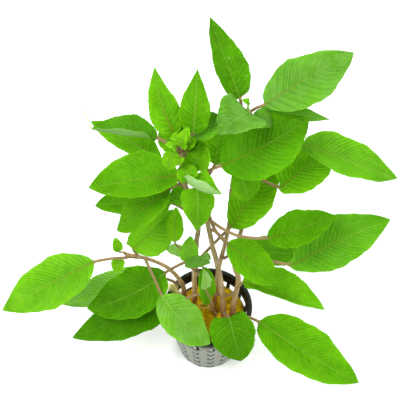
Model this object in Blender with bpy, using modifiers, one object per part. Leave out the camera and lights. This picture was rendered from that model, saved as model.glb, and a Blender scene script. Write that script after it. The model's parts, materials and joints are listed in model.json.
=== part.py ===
"""Hygrophila in a net pot: an aquarium plant whose stems stand in rock wool, held by a plastic net pot.

Blender 4.5, metres, +Z up. The pot stands on z = 0 with its axis on the z axis, and the side that the
photograph shows faces -y. Lengths in the tables are in millimetres and become metres where they are used.
"""

import math
from dataclasses import dataclass

import bmesh
import bpy
from mathutils import Matrix, Vector

MM = 0.001

# The net pot, a common 5 cm aquarium pot
POT_HEIGHT = 46 * MM
RIM_RADIUS = 26 * MM
TOP_RADIUS = 24.8 * MM
BASE_RADIUS = 18 * MM
WALL = 1.2 * MM
LIP_HEIGHT = 1.6 * MM
BAND_HEIGHT = 7 * MM
FLOOR = 1.5 * MM
FOOT_RING = 2 * MM
THIN_RING = 0.8 * MM
WINDOW_ROWS = 5
RIBS = 15
RIB_WIDTH = 2 * MM
FIRST_RIB_DEGREES = -86
SLOT_OUTER_RADIUS = 15.5 * MM
SLOT_INNER_RADIUS = 9 * MM
SLOT_WIDTH = 2.2 * MM
POT_SIDES = 2 * RIBS
CUT_DEPTH = 6 * MM
MERGE = 0.0001

# The rock wool plug that the roots grow in
WOOL_TOP = 40 * MM
WOOL_BOTTOM = FLOOR + 0.3 * MM
WOOL_TOP_RADIUS = 19.5 * MM
WOOL_BOTTOM_RADIUS = 15.5 * MM
WOOL_LEAN = 1.5 * MM
WOOL_SIDES = 20
SHARP_DEGREES = 40

# Stems and leaves
STEM_FOOT = 40.7
STEM_BEVEL = 2
PETIOLE_RADIUS = 0.8 * MM
SMALL_PETIOLE_RADIUS = 0.5 * MM
MIDRIB_THICKNESS = 0.9 * MM
MARGIN_THICKNESS = 0.3 * MM
GAP = 0.3 * MM
LARGE_LEAF = 16
PETIOLE_STEPS = (0.0, 0.5)
LARGE_BLADE_STEPS = (0.0, 0.08, 0.25, 0.5, 0.75, 0.92)
SMALL_BLADE_STEPS = (0.0, 0.2, 0.5, 0.82)
PETIOLE_SECTION = ((1, 0.5), (0, 1), (-1, 0.5), (-1, -0.5), (0, -1), (1, -0.5))
OPENING = 0.08
CURVE_STEP = 0.02

# How the blade's width runs from its base to its tip: a rounded base and a drawn-out tip
OVATE = (0.62, 0.88)
POINTED = (0.6, 1.25)
TAPERED = (0.5, 1.05)
ROUND = (0.42, 0.6)
HEART = (0.28, 0.8)
SPEAR = (0.3, 1.2)
OVAL = (0.72, 0.95)
CORDATE = (0.4, 0.85)


@dataclass
class Stem:
    """A stem: the points that it passes, in mm, and its radius in mm at its foot and its tip."""

    name: str
    points: tuple
    foot_radius: float
    tip_radius: float


@dataclass
class Leaf:
    """A leaf: its node on a stem, where its blade starts and ends, and how the blade is turned and bent.

    Lengths are in mm and angles in degrees. roll lifts the blade's right side, seen from its base, and
    fold lifts its left and right halves. arch raises the midrib's middle and sweep moves it to the right.
    bend moves the petiole's middle, and lobe draws the margins back past the blade's base.
    """

    name: str
    stem: str
    node: float
    base: tuple
    tip: tuple
    width: float
    roll: float = 0
    fold: tuple = (14, 14)
    arch: float = 2
    sweep: float = 0
    bend: tuple = (0, 0, 1)
    lobe: float = 0
    outline: tuple = OVATE


STEMS = (
    Stem(
        "stem_main",
        ((9, -4, STEM_FOOT), (8, 0, 60), (5, 1, 92), (2, 1, 113), (0, 1, 130), (-2, 1, 145), (-5, 4, 162),
         (-8, 7, 178)),
        1.7,
        1.0,
    ),
    Stem(
        "stem_right",
        ((14, -3, STEM_FOOT), (15, -2, 55), (17, 1, 72), (17, 7, 115), (21, 18, 122), (26, 28, 131),
         (32, 38, 142), (36, 40, 152), (38, 38, 166)),
        1.6,
        0.9,
    ),
    Stem(
        "stem_back",
        ((4, 7, STEM_FOOT), (6, 12, 70), (10, 18, 93), (12, 23, 112), (12, 26, 122), (14, 31, 145),
         (17, 33, 170), (18, 28, 201)),
        1.3,
        0.9,
    ),
    Stem(
        "stem_left",
        ((-8, 6, STEM_FOOT), (-8, 6, 80), (-7, 7, 105), (-6, 3, 135), (-13, 6, 170), (-15, 6, 200)),
        1.5,
        1.1,
    ),
    Stem(
        "stem_side",
        ((-14, 9, STEM_FOOT), (-16, 11, 55), (-23, 14, 66), (-33, 14, 76), (-42, 12, 84), (-48, 11, 88)),
        1.5,
        0.9,
    ),
    Stem(
        "shoot_low",
        ((4, -2, STEM_FOOT), (0, -1, 62), (-6, 0, 86), (-8, 1, 98)),
        0.9,
        0.8,
    ),
)

LEAVES = (
    # Leaves of the back stem
    Leaf("leaf_01", "stem_back", 200, (15, 27, 211), (0, 64, 230), 20, roll=-10, fold=(25, 10), sweep=-1,
         outline=TAPERED),
    Leaf("leaf_02", "stem_back", 197, (27, 30, 202), (73, 56, 212), 30, fold=(-4, -6), outline=OVAL),
    Leaf("leaf_03", "stem_back", 188, (24, 31, 194), (62, 33, 186), 12, fold=(4, 4), outline=TAPERED),
    Leaf("leaf_04", "stem_back", 199.5, (19.5, 19.5, 211), (4, 0.5, 218), 26, fold=(8, 28), bend=(2, -2, -1),
         outline=HEART),
    Leaf("leaf_05", "stem_back", 196, (21, 22, 200), (31, 22, 197), 12, outline=ROUND),
    Leaf("leaf_06", "stem_back", 201, (18.5, 25, 205), (15.5, 25, 213), 6),
    Leaf("leaf_26", "stem_back", 80, (18, 8, 96), (55, 9, 90), 22, fold=(0, 14), arch=1),
    Leaf("leaf_29", "stem_back", 145, (37, 13, 152), (68, 38, 158), 25, fold=(10, -4), arch=1),
    Leaf("leaf_30", "stem_back", 160, (15, 14, 166), (21, 5, 154), 17, arch=1, outline=ROUND),
    # Leaves of the left stem
    Leaf("leaf_07", "stem_left", 199, (-17, 9, 205), (-27, 36, 226), 16, outline=POINTED, sweep=-2.5),
    Leaf("leaf_08", "stem_left", 199, (-8, 10, 205), (-6, 33, 228), 16, outline=POINTED),
    Leaf("leaf_09", "stem_left", 195, (-10, 12, 199), (9, 22, 202), 16),
    Leaf("leaf_10", "stem_left", 195, (-26, 13, 198), (-59, 17, 200), 22, fold=(72, 15), arch=-1),
    Leaf("leaf_11", "stem_left", 163, (-25, 20, 168), (-63, 46, 167), 17, outline=OVAL),
    Leaf("leaf_12", "stem_left", 199, (-12.5, 4, 206), (-10.5, 9, 212), 6),
    Leaf("leaf_13", "stem_left", 200, (-16, 6, 204.5), (-19.5, 5, 208), 6.5),
    Leaf("leaf_14", "stem_left", 196, (-17, 3.5, 200), (-20.5, -3, 193), 9),
    Leaf("leaf_15", "stem_left", 182, (-17, 13, 186), (-25, 23, 192), 14),
    Leaf("leaf_16", "stem_left", 170, (-15, 8, 172), (-62, 3, 168), 30, roll=12, fold=(32, 5), outline=OVAL),
    Leaf("leaf_17", "stem_left", 168, (-20, 4, 166), (-49, -3, 136), 22, fold=(5, 14), sweep=-1),
    Leaf("leaf_18", "stem_left", 178, (-12, -5, 186), (6, -11, 184), 19, fold=(5, 74), arch=1,
         outline=HEART),
    Leaf("leaf_23", "stem_left", 144, (-11, 8, 150), (-21, 10, 149), 15),
    Leaf("leaf_31", "stem_left", 90, (12, 8, 122), (38, 34, 148), 24, fold=(-6, -8), arch=1),
    Leaf("leaf_32", "stem_left", 138, (-20, 16, 134), (-61, 10, 140), 24),
    Leaf("leaf_33", "stem_left", 104, (-19, 7, 108), (-18, 21, 122), 10, bend=(-2, -2, -2)),
    Leaf("leaf_34", "stem_left", 88, (-25, 8, 72), (-70, -10, 62), 29, roll=10, fold=(4, 14), arch=1,
         sweep=-4),
    # Leaves of the main stem
    Leaf("leaf_19", "stem_main", 174, (5, 4, 186), (50, 27, 196), 33, roll=-13, arch=1, sweep=2, fold=(5, 5),
         outline=OVAL),
    Leaf("leaf_20", "stem_main", 176, (-7, 5, 185), (-3, 13, 194), 13, outline=ROUND),
    Leaf("leaf_21", "stem_main", 164, (3, 14, 173), (6, 40, 176), 20),
    Leaf("leaf_22", "stem_main", 172, (-6.5, 1, 172), (-7, -6, 140), 18, sweep=-1, bend=(0, 0, 0),
         outline=SPEAR),
    Leaf("leaf_24", "stem_main", 150, (46, -4, 100), (101, 19, 112), 29, roll=-8, fold=(10, 2), sweep=-1,
         bend=(-10, 5, -18), outline=OVAL),
    Leaf("leaf_25", "stem_main", 139, (32, 1, 122), (68, 9, 132), 23, fold=(8, 10), arch=1, sweep=1.5,
         bend=(0, -5, 1)),
    Leaf("leaf_27", "stem_main", 130, (10, 0, 118), (38, -14, 98), 23, arch=1, sweep=1),
    Leaf("leaf_41", "stem_main", 60, (19, -1, 78), (67, -11, 62), 31, fold=(5, 50), arch=1, bend=(0, -3, 1),
         outline=OVAL),
    Leaf("leaf_43", "stem_main", 46, (12, -15, 60), (19, -32, 38), 27, roll=-20, lobe=5, outline=CORDATE),
    # Leaves of the right stem
    Leaf("leaf_28", "stem_right", 162, (47, 25, 176), (100, 21, 150), 26, fold=(18, 16), arch=0),
    Leaf("leaf_44", "stem_right", 44, (29, -12, 50), (88, -41, 28), 33, arch=1, sweep=2),
    # Leaves of the side stem
    Leaf("leaf_35", "stem_side", 87, (-64, 2, 95), (-116, -20, 78), 29, roll=8, fold=(2, 6), arch=1,
         outline=OVAL),
    Leaf("leaf_36", "stem_side", 54, (-26, 12, 58), (-86, -1, 50), 24),
    Leaf("leaf_37", "stem_side", 84, (-43, 11, 92), (-20, 22, 118), 27, roll=-30, fold=(60, 5), arch=1,
         outline=OVAL),
    Leaf("leaf_38", "stem_side", 88, (-51, 10.5, 91), (-53, 16.5, 97), 6, bend=(0, 0, 0)),
    Leaf("leaf_39", "stem_side", 82, (-50, 10.5, 84), (-53, 2.5, 81), 8),
    Leaf("leaf_40", "stem_side", 79, (-27, -7, 72), (1, -28, 52), 24, arch=1, sweep=2.5, fold=(14, 5)),
    # Leaves of the low shoot
    Leaf("leaf_42", "stem_main", 61, (-22, -5, 56), (-79, -22, 48), 24, fold=(-8, 14), bend=(0, -4.5, 14)),
    Leaf("leaf_45", "shoot_low", 96, (-11, -3, 102), (-10, 6, 116), 11),
    Leaf("leaf_46", "shoot_low", 89, (-13.5, -8, 108), (1, -7, 109), 8, fold=(14, 14)),
    Leaf("leaf_47", "shoot_low", 98, (-14, 4, 99), (-24, 7, 100), 8),
    Leaf("leaf_48", "shoot_low", 50, (-2, -7, 80), (-3, -5, 99), 7, bend=(2, -3, 0)),
    Leaf("leaf_49", "shoot_low", 94, (-3, -1, 94), (-1, -5, 56), 11, bend=(0, 0, 0)),
    Leaf("leaf_50", "shoot_low", 97, (-4, 2, 99), (1, 2, 97), 5),
)


def clear_scene():
    """Remove what the scene held before this script ran."""
    for thing in list(bpy.data.objects):
        bpy.data.objects.remove(thing, do_unlink=True)


def make_material(name, colour, roughness):
    """A plain Principled material."""
    material = bpy.data.materials.new(name)
    material.use_nodes = True
    shader = material.node_tree.nodes["Principled BSDF"]
    shader.inputs["Base Color"].default_value = (*colour, 1)
    shader.inputs["Roughness"].default_value = roughness
    shader.inputs["Metallic"].default_value = 0
    material.diffuse_color = (*colour, 1)
    return material


def add_object(name, data, material, collection):
    """A named object in the collection, with its material."""
    data.materials.append(material)
    thing = bpy.data.objects.new(name, data)
    collection.objects.link(thing)
    return thing


def wall_radius(z):
    """Outer radius of the pot's wall at a height."""
    share = z / (POT_HEIGHT - LIP_HEIGHT)
    return BASE_RADIUS + (TOP_RADIUS - BASE_RADIUS) * share


def turned_pot(material, collection):
    """The pot before its windows are cut: a profile turned round the z axis."""
    inner_top = TOP_RADIUS - WALL
    profile = (
        (0, FLOOR),
        (BASE_RADIUS - WALL, FLOOR),
        (inner_top, POT_HEIGHT),
        (RIM_RADIUS, POT_HEIGHT),
        (RIM_RADIUS, POT_HEIGHT - LIP_HEIGHT),
        (TOP_RADIUS, POT_HEIGHT - LIP_HEIGHT),
        (BASE_RADIUS, 0),
        (0, 0),
    )
    mesh = bpy.data.meshes.new("net_pot")
    edges = [(i, i + 1) for i in range(len(profile) - 1)]
    mesh.from_pydata([(radius, 0, z) for radius, z in profile], edges, [])
    pot = add_object("net_pot", mesh, material, collection)
    pot.rotation_euler.z = math.radians(FIRST_RIB_DEGREES)
    turn = pot.modifiers.new("turn", "SCREW")
    turn.steps = turn.render_steps = POT_SIDES
    turn.use_merge_vertices = True
    turn.merge_threshold = MERGE
    return pot


def add_box(cutters, angle, radius, z, size):
    """A box in the cutters' mesh, at an angle round the pot and a radius from its axis."""
    place = Matrix.Rotation(angle, 4, "Z") @ Matrix.Translation((radius, 0, z))
    bmesh.ops.create_cube(cutters, size=1, matrix=place @ Matrix.Diagonal((*size, 1)))


def pot_cutters(collection):
    """One mesh of boxes: five rows of windows between the ribs, and a ring of slots in the floor."""
    boxes = bmesh.new()
    band_bottom = POT_HEIGHT - BAND_HEIGHT
    pitch = (band_bottom - FOOT_RING + THIN_RING) / WINDOW_ROWS
    for rib in range(RIBS):
        angle = math.radians(FIRST_RIB_DEGREES) + 2 * math.pi * (rib + 0.5) / RIBS
        for row in range(WINDOW_ROWS):
            top = band_bottom - row * pitch
            middle = top - (pitch - THIN_RING) / 2
            radius = wall_radius(middle) - WALL / 2
            width = 2 * radius * math.sin(math.pi / RIBS) - RIB_WIDTH
            add_box(boxes, angle, radius, middle, (CUT_DEPTH, width, pitch - THIN_RING))
        slot_middle = (SLOT_OUTER_RADIUS + SLOT_INNER_RADIUS) / 2
        slot_size = (SLOT_OUTER_RADIUS - SLOT_INNER_RADIUS, SLOT_WIDTH, 2 * CUT_DEPTH)
        add_box(boxes, angle, slot_middle, 0, slot_size)
    mesh = bpy.data.meshes.new("windows")
    boxes.to_mesh(mesh)
    boxes.free()
    cutter = bpy.data.objects.new("windows", mesh)
    cutter.hide_render = True
    cutter.display_type = "WIRE"
    collection.objects.link(cutter)
    return cutter


def build_pot(material, collection, cutters):
    """The net pot: a turned shell with windows cut between its ribs and slots cut through its floor."""
    pot = turned_pot(material, collection)
    cut = pot.modifiers.new("windows", "BOOLEAN")
    cut.operation = "DIFFERENCE"
    cut.object = pot_cutters(cutters)


def build_wool(material, collection):
    """The rock wool plug, a tapered cylinder that leans a little to the right."""
    plug = bmesh.new()
    height = WOOL_TOP - WOOL_BOTTOM
    bmesh.ops.create_cone(
        plug,
        cap_ends=True,
        segments=WOOL_SIDES,
        radius1=WOOL_BOTTOM_RADIUS,
        radius2=WOOL_TOP_RADIUS,
        depth=height,
        matrix=Matrix.Translation((0, 0, WOOL_BOTTOM + height / 2)),
    )
    for vertex in plug.verts:
        vertex.co.x += WOOL_LEAN * (vertex.co.z - WOOL_BOTTOM) / height
    mesh = bpy.data.meshes.new("rock_wool")
    plug.to_mesh(mesh)
    plug.free()
    mesh.shade_smooth()
    mesh.set_sharp_from_angle(angle=math.radians(SHARP_DEGREES))
    add_object("rock_wool", mesh, material, collection)


def stem_point(stem, height):
    """The stem's centre, radius and direction at a height in mm."""
    points = stem.points
    share = (height - points[0][2]) / (points[-1][2] - points[0][2])
    radius = stem.foot_radius + (stem.tip_radius - stem.foot_radius) * share
    low, high = next(pair for pair in zip(points, points[1:]) if height <= pair[1][2])
    part = (height - low[2]) / (high[2] - low[2])
    along = (Vector(high) - Vector(low)).normalized()
    return Vector(low).lerp(Vector(high), part) * MM, radius * MM, along


def build_stem(stem, material, collection):
    """A stem: a round tube that tapers through its points, with closed ends."""
    curve = bpy.data.curves.new(stem.name, "CURVE")
    curve.dimensions = "3D"
    curve.bevel_depth = MM
    curve.bevel_resolution = STEM_BEVEL
    curve.use_fill_caps = True
    spline = curve.splines.new("POLY")
    spline.points.add(len(stem.points) - 1)
    for spot, place in zip(spline.points, stem.points):
        centre, radius, _ = stem_point(stem, place[2])
        spot.co = (*centre, 1)
        spot.radius = radius / MM
    add_object(stem.name, curve, material, collection)


def blade_axes(leaf):
    """The blade's right side and its upward normal."""
    forward = (Vector(leaf.tip) - Vector(leaf.base)).normalized()
    level_side = forward.cross(Vector((0, 0, 1))).normalized()
    level_up = level_side.cross(forward)
    roll = math.radians(leaf.roll)
    side = math.cos(roll) * level_side + math.sin(roll) * level_up
    return side, side.cross(forward)


def midrib_point(leaf, share):
    """A point on the midrib, arched and swept between the blade's base and its tip."""
    side, up = blade_axes(leaf)
    bow = 4 * share * (1 - share)
    straight = Vector(leaf.base).lerp(Vector(leaf.tip), share)
    return (straight + bow * (leaf.arch * up + leaf.sweep * side)) * MM


def half_width(leaf, share):
    """Half the blade's width at a share of its length, widest where the outline's two powers balance."""
    rise, fall = leaf.outline
    widest = rise / (rise + fall)
    shape = (share / widest) ** rise * ((1 - share) / (1 - widest)) ** fall
    return max(leaf.width / 2 * MM * shape, petiole_radius(leaf))


def blade_edge(leaf, share, centre, along, way):
    """A point on the blade's margin: way is 1 for the right one and -1 for the left one."""
    side = blade_axes(leaf)[0]
    opening = min(1, share / OPENING)
    fold = math.radians(leaf.fold[way > 0]) * opening
    across = way * math.cos(fold) * side + math.sin(fold) * side.cross(along)
    back = leaf.lobe * MM * (1 - share) ** 3 * opening
    return centre - back * along + half_width(leaf, share) * across


def blade_ring(leaf, share):
    """Six points round the blade: right margin, midrib and left margin, above and below."""
    centre = midrib_point(leaf, share)
    behind = midrib_point(leaf, max(share - CURVE_STEP, 0))
    ahead = midrib_point(leaf, min(share + CURVE_STEP, 1))
    along = (ahead - behind).normalized()
    left = blade_edge(leaf, share, centre, along, -1)
    right = blade_edge(leaf, share, centre, along, 1)
    up = blade_axes(leaf)[0].cross(along).normalized()
    rib = up * MIDRIB_THICKNESS / 2
    margin = up * MARGIN_THICKNESS / 2
    return [right + margin, centre + rib, left + margin, left - margin, centre - rib, right - margin]


def petiole_radius(leaf):
    """Half a petiole's thickness: the small leaves have thinner ones."""
    return PETIOLE_RADIUS if leaf.width > LARGE_LEAF else SMALL_PETIOLE_RADIUS


def petiole_start(leaf, stem):
    """Where the petiole leaves its stem: just off the stem's skin, on the blade's side."""
    centre, radius, along = stem_point(stem, leaf.node)
    toward = Vector(leaf.base) * MM - centre
    out = (toward - toward.dot(along) * along).normalized()
    return centre + out * (radius + petiole_radius(leaf) + GAP)


def petiole_point(leaf, stem, share):
    """A point on the petiole's curve from the stem to the blade."""
    straight = petiole_start(leaf, stem).lerp(Vector(leaf.base) * MM, share)
    return straight + 4 * share * (1 - share) * Vector(leaf.bend) * MM


def petiole_ring(leaf, stem, share):
    """Six points round the petiole, turned as the blade's base is."""
    behind = petiole_point(leaf, stem, max(share - CURVE_STEP, 0))
    ahead = petiole_point(leaf, stem, min(share + CURVE_STEP, 1))
    along = (ahead - behind).normalized()
    side = blade_axes(leaf)[0]
    side = (side - side.dot(along) * along).normalized()
    up = side.cross(along)
    centre = petiole_point(leaf, stem, share)
    return [centre + petiole_radius(leaf) * (x * side + y * up) for x, y in PETIOLE_SECTION]


def build_leaf(leaf, stem, material, collection):
    """A leaf as one closed skin lofted over its sections: the petiole's, the blade's, then the tip."""
    steps = LARGE_BLADE_STEPS if leaf.width > LARGE_LEAF else SMALL_BLADE_STEPS
    rings = [petiole_ring(leaf, stem, share) for share in PETIOLE_STEPS]
    rings += [blade_ring(leaf, share) for share in steps]
    skin = bmesh.new()
    loops = [[skin.verts.new(point) for point in ring] for ring in rings]
    tip = skin.verts.new(midrib_point(leaf, 1))
    skin.faces.new(loops[0])
    for low, high in zip(loops, loops[1:]):
        for i in range(len(low)):
            skin.faces.new((low[i], low[i - 1], high[i - 1], high[i]))
    for i in range(len(loops[-1])):
        skin.faces.new((loops[-1][i], loops[-1][i - 1], tip))
    mesh = bpy.data.meshes.new(leaf.name)
    skin.to_mesh(mesh)
    skin.free()
    mesh.shade_smooth()
    add_object(leaf.name, mesh, material, collection)


def main():
    clear_scene()
    plant = bpy.data.collections.new("hygrophila")
    cutters = bpy.data.collections.new("cutters")
    bpy.context.scene.collection.children.link(plant)
    bpy.context.scene.collection.children.link(cutters)
    pot_plastic = make_material("pot_plastic", (0.03, 0.03, 0.025), 0.4)
    wool = make_material("wool", (0.42, 0.28, 0.07), 0.95)
    stem_skin = make_material("stem_skin", (0.32, 0.2, 0.1), 0.5)
    leaf_green = make_material("leaf_green", (0.13, 0.42, 0.02), 0.4)
    build_pot(pot_plastic, plant, cutters)
    build_wool(wool, plant)
    stems = {stem.name: stem for stem in STEMS}
    for stem in STEMS:
        build_stem(stem, stem_skin, plant)
    for leaf in LEAVES:
        build_leaf(leaf, stems[leaf.stem], leaf_green, plant)


main()
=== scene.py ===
"""Looks of the hygrophila in its net pot: fine leaves, stems, rock wool, roots and pot."""

import json
import math
import random
from dataclasses import dataclass
from functools import partial

import bpy
import numpy as np
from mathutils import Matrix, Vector, noise

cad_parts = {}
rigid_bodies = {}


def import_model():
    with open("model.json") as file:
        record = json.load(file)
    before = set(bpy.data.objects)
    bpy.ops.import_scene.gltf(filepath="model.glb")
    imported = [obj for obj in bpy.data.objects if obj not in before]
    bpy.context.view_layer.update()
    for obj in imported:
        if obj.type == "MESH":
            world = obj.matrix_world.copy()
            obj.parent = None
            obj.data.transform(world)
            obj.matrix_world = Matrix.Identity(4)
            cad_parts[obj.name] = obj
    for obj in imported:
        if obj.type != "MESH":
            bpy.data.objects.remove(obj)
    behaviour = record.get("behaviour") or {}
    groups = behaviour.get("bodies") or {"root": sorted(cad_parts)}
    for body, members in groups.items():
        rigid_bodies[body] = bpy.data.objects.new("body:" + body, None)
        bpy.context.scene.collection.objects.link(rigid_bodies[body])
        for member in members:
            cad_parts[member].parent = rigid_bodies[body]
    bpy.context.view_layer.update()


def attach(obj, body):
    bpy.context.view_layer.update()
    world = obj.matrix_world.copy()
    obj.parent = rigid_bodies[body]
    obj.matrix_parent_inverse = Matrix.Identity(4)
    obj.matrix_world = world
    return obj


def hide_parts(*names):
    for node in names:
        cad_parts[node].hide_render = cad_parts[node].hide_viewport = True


MM = 0.001

# Camera: it looks along +y and down at the pot, as the photograph does
CAMERA_PLACE = (-0.0049, -0.3559, 0.7092)
CAMERA_TILT_DEGREES = 33
CAMERA_LENS = 114.1

# Leaf outlines: how fast the blade widens from its base and narrows to its tip
OVATE = (0.62, 0.88)
POINTED = (0.6, 1.25)
TAPERED = (0.5, 1.05)
ROUND = (0.42, 0.6)
HEART = (0.28, 0.8)
SPEAR = (0.3, 1.2)
OVAL = (0.72, 0.95)
CORDATE = (0.4, 0.85)

# Leaf surface
LARGE_LEAF = 16
PETIOLE_RADIUS = 0.8
SMALL_PETIOLE_RADIUS = 0.5
GAP = 0.3
OPENING = 0.08
BLADE_THICKNESS = 0.28
MARGIN_THINNING = 0.45
TOOTH_PITCH = 1.9
TOOTH_DEPTH = 0.42
QUILT_DEPTH = 0.6
RIB_GROOVE = 0.24
RIB_GROOVE_WIDTH = 0.5
RIB_LEAST = 0.08
RIB_SWELL = 0.36
RIB_REACH = 0.9
STALK_FLARE = 0.35
ROWS_PER_VEIN = 6
TIP_START = 0.985
OPEN_ROW = 0.014
ROW_CROWDING = 1.4
STALK_POINTS = 14
BLADE_POINTS = 90
WIDE_ACROSS = (0, 0.03, 0.07, 0.13, 0.21, 0.31, 0.42, 0.53, 0.64, 0.75, 0.85, 0.94, 1)
NARROW_ACROSS = (0, 0.08, 0.2, 0.38, 0.58, 0.8, 1)

# Pot, as in the solids
POT_HEIGHT = 46
RIM_RADIUS = 26
TOP_RADIUS = 24.8
BASE_RADIUS = 18
WALL = 1.2
LIP_HEIGHT = 1.6
LIP_EDGE = 0.35
BAND_HEIGHT = 7
FLOOR = 1.5
FOOT_RING = 2
THIN_RING = 0.8
WINDOW_ROWS = 5
RIBS = 15
RIB_WIDTH = 2
FIRST_RIB_DEGREES = -86
SLOT_OUTER_RADIUS = 15.5
SLOT_INNER_RADIUS = 9
BAND_BOTTOM = POT_HEIGHT - BAND_HEIGHT
ROW_PITCH = (BAND_BOTTOM - FOOT_RING + THIN_RING) / WINDOW_ROWS
COLUMNS = 12
LEVEL_STEP = 1.6
SHARP_DEGREES = 38

# Rock wool: a plug that swells out through the windows low down and stands clear of the wall near its top
WOOL_TOP = 40
WOOL_BOTTOM = 1.8
WOOL_TOP_RADIUS = 19.5
WOOL_LEAN = 1.5
WOOL_SWELL_TOP = 27
WOOL_SHOULDER = 36
WOOL_FRONT_SWELL_TOP = 34.5
WOOL_FRONT_SHOULDER = 38.5
WOOL_SIDE_LEVELS = 90
WOOL_TOP_RINGS = 44
LUMPS = 90

# Stems
STEM_START = 34
STEM_SIDES = 20
KNOT_SWELL = 0.16
KNOT_REACH = 1.5


@dataclass
class Stem:
    """A stem: its radius at its foot and its tip, and the points that it passes, all in mm."""

    name: str
    foot_radius: float
    tip_radius: float
    points: tuple


@dataclass
class Leaf:
    """A leaf: its stem and number, its node, where its blade starts and ends, its bends and its green.

    Lengths are in mm and angles in degrees. roll lifts the blade's right side, seen from its base, and
    fold lifts its left and right halves. arch raises the midrib's middle and sweep moves it to the right.
    bend moves the petiole's middle, and lobe draws the margins back past the blade's base. curl bends the
    outer part of each half further up, wave is the height of the margin's waves, and veins is the distance
    between two side veins. light runs from deep to bright green; it is partly the leaf's own green and partly
    painted light and shade, raised for leaves that lie in shade. pale adds a grey bloom with a painted sheen,
    and blush reddens the midrib near its base.
    """

    stem: str
    number: int
    node: float
    base: tuple
    tip: tuple
    width: float
    light: float
    roll: float = 0
    fold: tuple = (14, 14)
    arch: float = 2
    sweep: float = 0
    bend: tuple = (0, 0, 1)
    lobe: float = 0
    outline: tuple = OVATE
    curl: tuple = (0, 0)
    wave: float = 0.5
    veins: float = 2.3
    pale: float = 0
    blush: float = 0.3

    @property
    def name(self):
        return f"leaf_{self.number:02d}"


STEMS = (
    Stem("stem_main", 1.7, 1.0, ((9, -4, 40.7), (8, 0, 60), (5, 1, 92), (2, 1, 113), (0, 1, 130),
         (-2, 1, 145), (-5, 4, 162), (-8, 7, 178))),
    Stem("stem_right", 1.6, 0.9, ((14, -3, 40.7), (15, -2, 55), (17, 1, 72), (17, 7, 115), (21, 18, 122),
         (26, 28, 131), (32, 38, 142), (36, 40, 152), (38, 38, 166))),
    Stem("stem_back", 1.3, 0.9, ((4, 7, 40.7), (6, 12, 70), (10, 18, 93), (12, 23, 112), (12, 26, 122),
         (14, 31, 145), (17, 33, 170), (18, 28, 201))),
    Stem("stem_left", 1.5, 1.1, ((-8, 6, 40.7), (-8, 6, 80), (-7, 7, 105), (-6, 3, 135), (-13, 6, 170),
         (-15, 6, 200))),
    Stem("stem_side", 1.5, 0.9, ((-14, 9, 40.7), (-16, 11, 55), (-23, 14, 66), (-33, 14, 76), (-42, 12, 84),
         (-48, 11, 88))),
    Stem("shoot_low", 0.9, 0.8, ((4, -2, 40.7), (0, -1, 62), (-6, 0, 86), (-8, 1, 98))),
)

# A leaf's maker for each stem, in the order of the stems
on_main, on_right, on_back, on_left, on_side, on_shoot = (partial(Leaf, stem.name) for stem in STEMS)

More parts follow.
